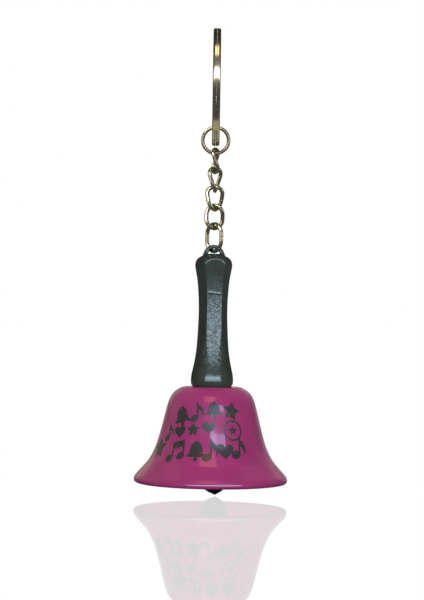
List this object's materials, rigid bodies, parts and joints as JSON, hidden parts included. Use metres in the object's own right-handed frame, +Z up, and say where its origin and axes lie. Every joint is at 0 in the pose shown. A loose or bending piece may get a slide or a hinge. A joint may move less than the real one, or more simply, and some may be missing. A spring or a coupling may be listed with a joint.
{
  "type": "key-ring hand bell",
  "caption": "Small flared metal bell with a loose clapper and a moulded waisted handle, hung by a short twisted chain and a jump ring from a flat split ring.",
  "frame": {"origin": "inside of the split ring's top, where a hook bears", "axes": "+Z up, along the hanging chain and the bell's axis; -Y front, the side with the print; +X to the right seen from the front, through the split ring's hole"},
  "size_m": [0.038, 0.038, 0.1156],
  "materials": {
    "plated": "nickel plated, bright, slightly yellow",
    "black_plastic": "moulded, glossy",
    "brass": "knurled insert",
    "magenta_paint": "gloss enamel with a dark screen print",
    "steel": "zinc plated",
    "black_paint": "gloss black enamel"
  },
  "bodies": {
    "split_ring": {"split_ring": "plated"},
    "jump_ring": {"jump_ring": "plated"},
    "link_1": {"chain_link_1": "plated"},
    "link_2": {"chain_link_2": "plated"},
    "link_3": {"chain_link_3": "plated"},
    "link_4": {"chain_link_4": "plated"},
    "eyelet_link": {"eyelet_link": "plated"},
    "bell": {"handle": "black_plastic", "threaded_insert": "brass", "bell_shell": "magenta_paint", "crown_washer": "steel", "lock_washer": "steel", "hex_nut": "steel", "eye_bolt": "steel"},
    "clapper_ring": {"clapper_ring": "steel"},
    "clapper": {"clapper_rod": "steel", "clapper_bob": "black_paint"}
  },
  "joints": [
    {"name": "jump_ring_swing", "type": "hinge", "parent": "split_ring", "child": "jump_ring", "pos_m": [0, 0, -0.0231], "axis": [0, 1, 0], "range_deg": [-60, 60]},
    {"name": "link_1_swing", "type": "hinge", "parent": "jump_ring", "child": "link_1", "pos_m": [0, 0, -0.02694], "axis": [1, 0, 0], "range_deg": [-50, 50]},
    {"name": "link_2_swing", "type": "hinge", "parent": "link_1", "child": "link_2", "pos_m": [0, 0, -0.03163], "axis": [-0.5, 0.866, 0], "range_deg": [-60, 60]},
    {"name": "link_3_swing", "type": "hinge", "parent": "link_2", "child": "link_3", "pos_m": [0, 0, -0.03626], "axis": [0, -1, 0], "range_deg": [-60, 60]},
    {"name": "link_4_swing", "type": "hinge", "parent": "link_3", "child": "link_4", "pos_m": [0, 0, -0.04089], "axis": [0.5, 0.866, 0], "range_deg": [-60, 60]},
    {"name": "eyelet_link_swing", "type": "hinge", "parent": "link_4", "child": "eyelet_link", "pos_m": [0, 0, -0.04552], "axis": [-0.866, -0.5, 0], "range_deg": [-60, 60]},
    {"name": "bell_swing", "type": "hinge", "parent": "eyelet_link", "child": "bell", "pos_m": [0, 0, -0.0512], "axis": [0.5, -0.866, 0], "range_deg": [-60, 60]},
    {"name": "clapper_ring_swing", "type": "hinge", "parent": "bell", "child": "clapper_ring", "pos_m": [0, 0, -0.0934], "axis": [1, 0, 0], "range_deg": [-35, 35]},
    {"name": "clapper_swing", "type": "hinge", "parent": "clapper_ring", "child": "clapper", "pos_m": [0, 0, -0.09633], "axis": [0, 1, 0], "range_deg": [-40, 49]}
  ]
}
